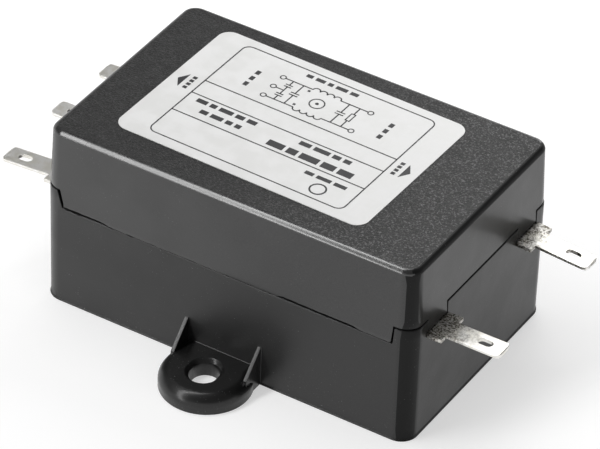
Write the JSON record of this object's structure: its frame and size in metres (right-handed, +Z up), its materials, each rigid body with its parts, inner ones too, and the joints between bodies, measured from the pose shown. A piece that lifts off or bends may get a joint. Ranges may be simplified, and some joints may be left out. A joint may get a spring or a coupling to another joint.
{
  "type": "emi line filter",
  "caption": "Black moulded mains line filter with spade tabs at both ends and two slotted mounting ears.",
  "frame": {"origin": "on the base plane, midway between the two mounting slots", "axes": "+X along the case towards the line end with two tabs, +Y towards the back ear, +Z up out of the label"},
  "size_m": [0.0702, 0.051, 0.0253],
  "materials": {
    "case_plastic": "moulded, fine grain",
    "cover_plastic": "moulded, fine grain",
    "label_foil": "printed film",
    "tinned_brass": "tin plated",
    "board_laminate": "bare laminate",
    "copper": "bare copper",
    "solder": "solder, satin",
    "ferrite": "coated ferrite",
    "divider_plastic": "moulded",
    "enamelled_wire": "enamelled copper",
    "capacitor_box": "filled box",
    "capacitor_disc": "lacquered",
    "resistor_body": "lacquered"
  },
  "bodies": {
    "root": {"lower_case": "case_plastic", "upper_cover": "cover_plastic", "label": "label_foil", "line_live_terminal": "tinned_brass", "line_neutral_terminal": "tinned_brass", "load_live_terminal": "tinned_brass", "load_earth_terminal": "tinned_brass", "load_neutral_terminal": "tinned_brass", "circuit_board": "board_laminate", "copper_tracks": "copper", "solder_joints": "solder", "choke_core": "ferrite", "choke_divider": "divider_plastic", "live_winding": "enamelled_wire", "neutral_winding": "enamelled_wire", "line_x_capacitor": "capacitor_box", "load_x_capacitor": "capacitor_box", "live_y_capacitor": "capacitor_disc", "neutral_y_capacitor": "capacitor_disc", "bleed_resistor": "resistor_body"}
  },
  "joints": []
}
